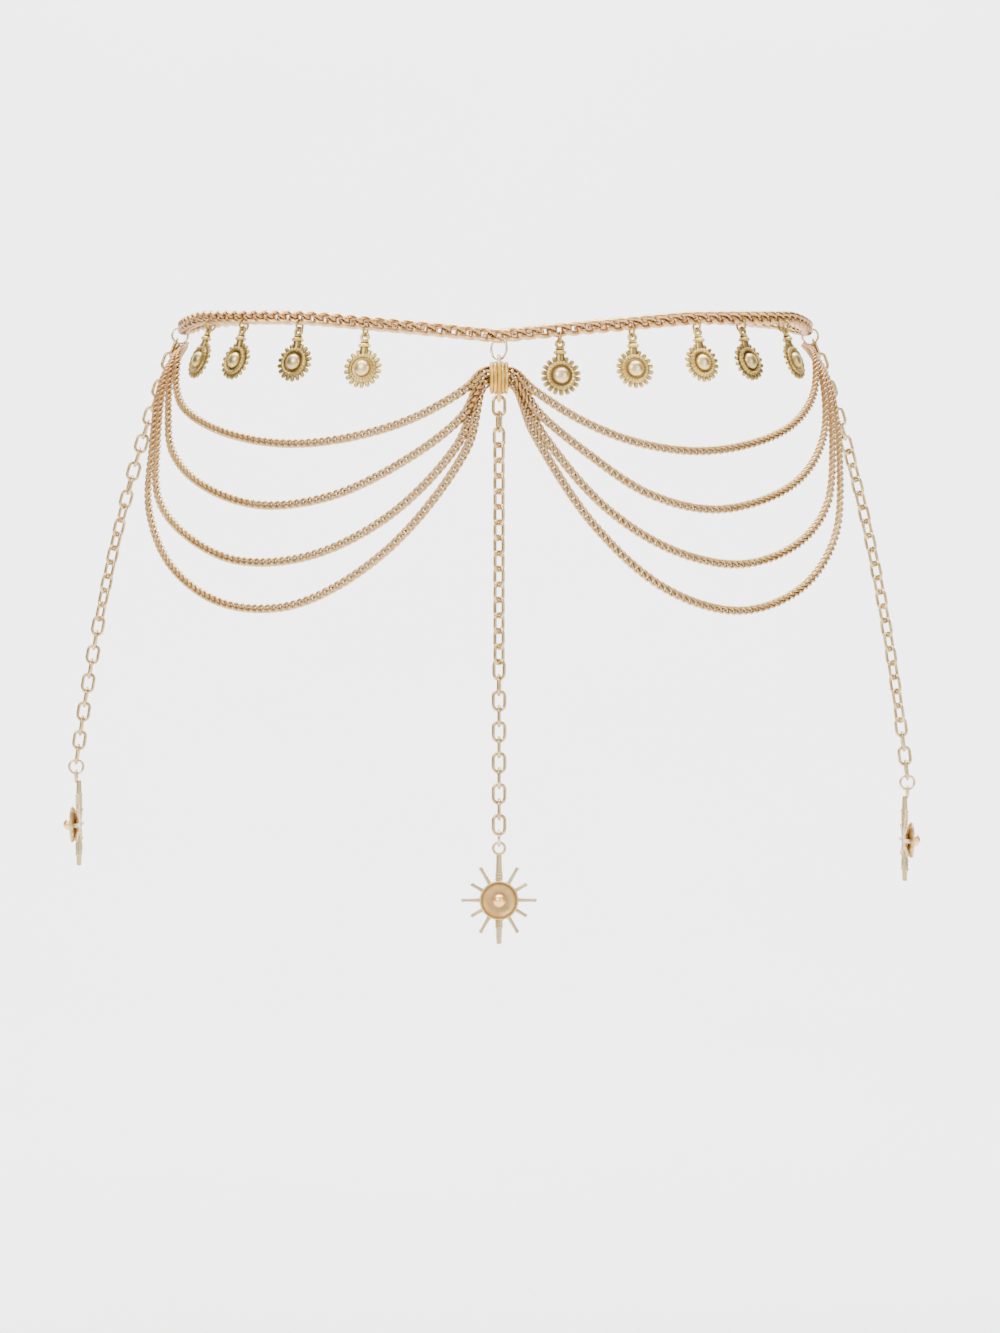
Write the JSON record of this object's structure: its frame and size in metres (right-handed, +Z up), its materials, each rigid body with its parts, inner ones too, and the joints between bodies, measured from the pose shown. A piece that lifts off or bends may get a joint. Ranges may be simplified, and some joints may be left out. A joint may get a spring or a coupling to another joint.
{
  "type": "waist chain",
  "caption": "Belt of flat twisted links worn round the waist, with sun charms, draped swags gathered at the front and long drops ending in rayed stars.",
  "frame": {"origin": "middle of the waist opening, at the height of the belt's sides", "axes": "+X to the wearer's left, -Y to the wearer's front, +Z up, as worn"},
  "size_m": [0.3695, 0.22, 0.2706],
  "materials": {
    "chain_gold": "polished, pale rose gold plating",
    "ring_gold": "polished, pale gold plating",
    "yellow_gold": "polished, yellow gold plating",
    "antique_gold": "cast, antiqued dark in the recesses, worn bright on the dome",
    "star_gold": "cast, satin pale gold"
  },
  "bodies": {
    "waist_chain": {"belt_front": "chain_gold", "belt_back": "chain_gold", "clasp": "ring_gold", "centre_ring": "ring_gold", "gather_ring": "yellow_gold", "side_ring_left": "ring_gold", "side_ring_right": "ring_gold", "drop_chain_centre": "chain_gold", "drop_chain_left": "chain_gold", "drop_chain_right": "chain_gold", "swag_strand_1": "chain_gold", "swag_strand_2": "chain_gold", "swag_strand_3": "chain_gold", "swag_strand_4": "chain_gold", "sun_charm_1": "antique_gold", "sun_charm_2": "antique_gold", "sun_charm_3": "antique_gold", "sun_charm_4": "antique_gold", "sun_charm_5": "antique_gold", "sun_charm_6": "antique_gold", "sun_charm_7": "antique_gold", "sun_charm_8": "antique_gold", "sun_charm_9": "antique_gold", "charm_ring_1": "ring_gold", "charm_ring_2": "ring_gold", "charm_ring_3": "ring_gold", "charm_ring_4": "ring_gold", "charm_ring_5": "ring_gold", "charm_ring_6": "ring_gold", "charm_ring_7": "ring_gold", "charm_ring_8": "ring_gold", "charm_ring_9": "ring_gold"},
    "centre_star_ring": {"star_ring_centre": "ring_gold"},
    "centre_star": {"star_centre": "star_gold"},
    "left_star_ring": {"star_ring_left": "ring_gold"},
    "left_star": {"star_left": "star_gold"},
    "right_star_ring": {"star_ring_right": "ring_gold"},
    "right_star": {"star_right": "star_gold"}
  },
  "joints": [
    {"name": "centre_ring_sway", "type": "hinge", "parent": "waist_chain", "child": "centre_star_ring", "pos_m": [0, -0.112, -0.21185], "axis": [1, 0, 0], "range_deg": [-40, 40]},
    {"name": "centre_star_swing", "type": "hinge", "parent": "centre_star_ring", "child": "centre_star", "pos_m": [0, -0.112, -0.2164], "axis": [0, 1, 0], "range_deg": [-60, 60]},
    {"name": "left_ring_sway", "type": "hinge", "parent": "waist_chain", "child": "left_star_ring", "pos_m": [-0.18002, 0.00017, -0.18618], "axis": [0, 1, 0], "range_deg": [-40, 40]},
    {"name": "left_star_swing", "type": "hinge", "parent": "left_star_ring", "child": "left_star", "pos_m": [-0.18002, 0.00017, -0.19073], "axis": [1, 0, 0], "range_deg": [-60, 60]},
    {"name": "right_ring_sway", "type": "hinge", "parent": "waist_chain", "child": "right_star_ring", "pos_m": [0.17738, 0.00017, -0.19311], "axis": [0, 1, 0], "range_deg": [-40, 40]},
    {"name": "right_star_swing", "type": "hinge", "parent": "right_star_ring", "child": "right_star", "pos_m": [0.17738, 0.00017, -0.19766], "axis": [1, 0, 0], "range_deg": [-60, 60]}
  ]
}
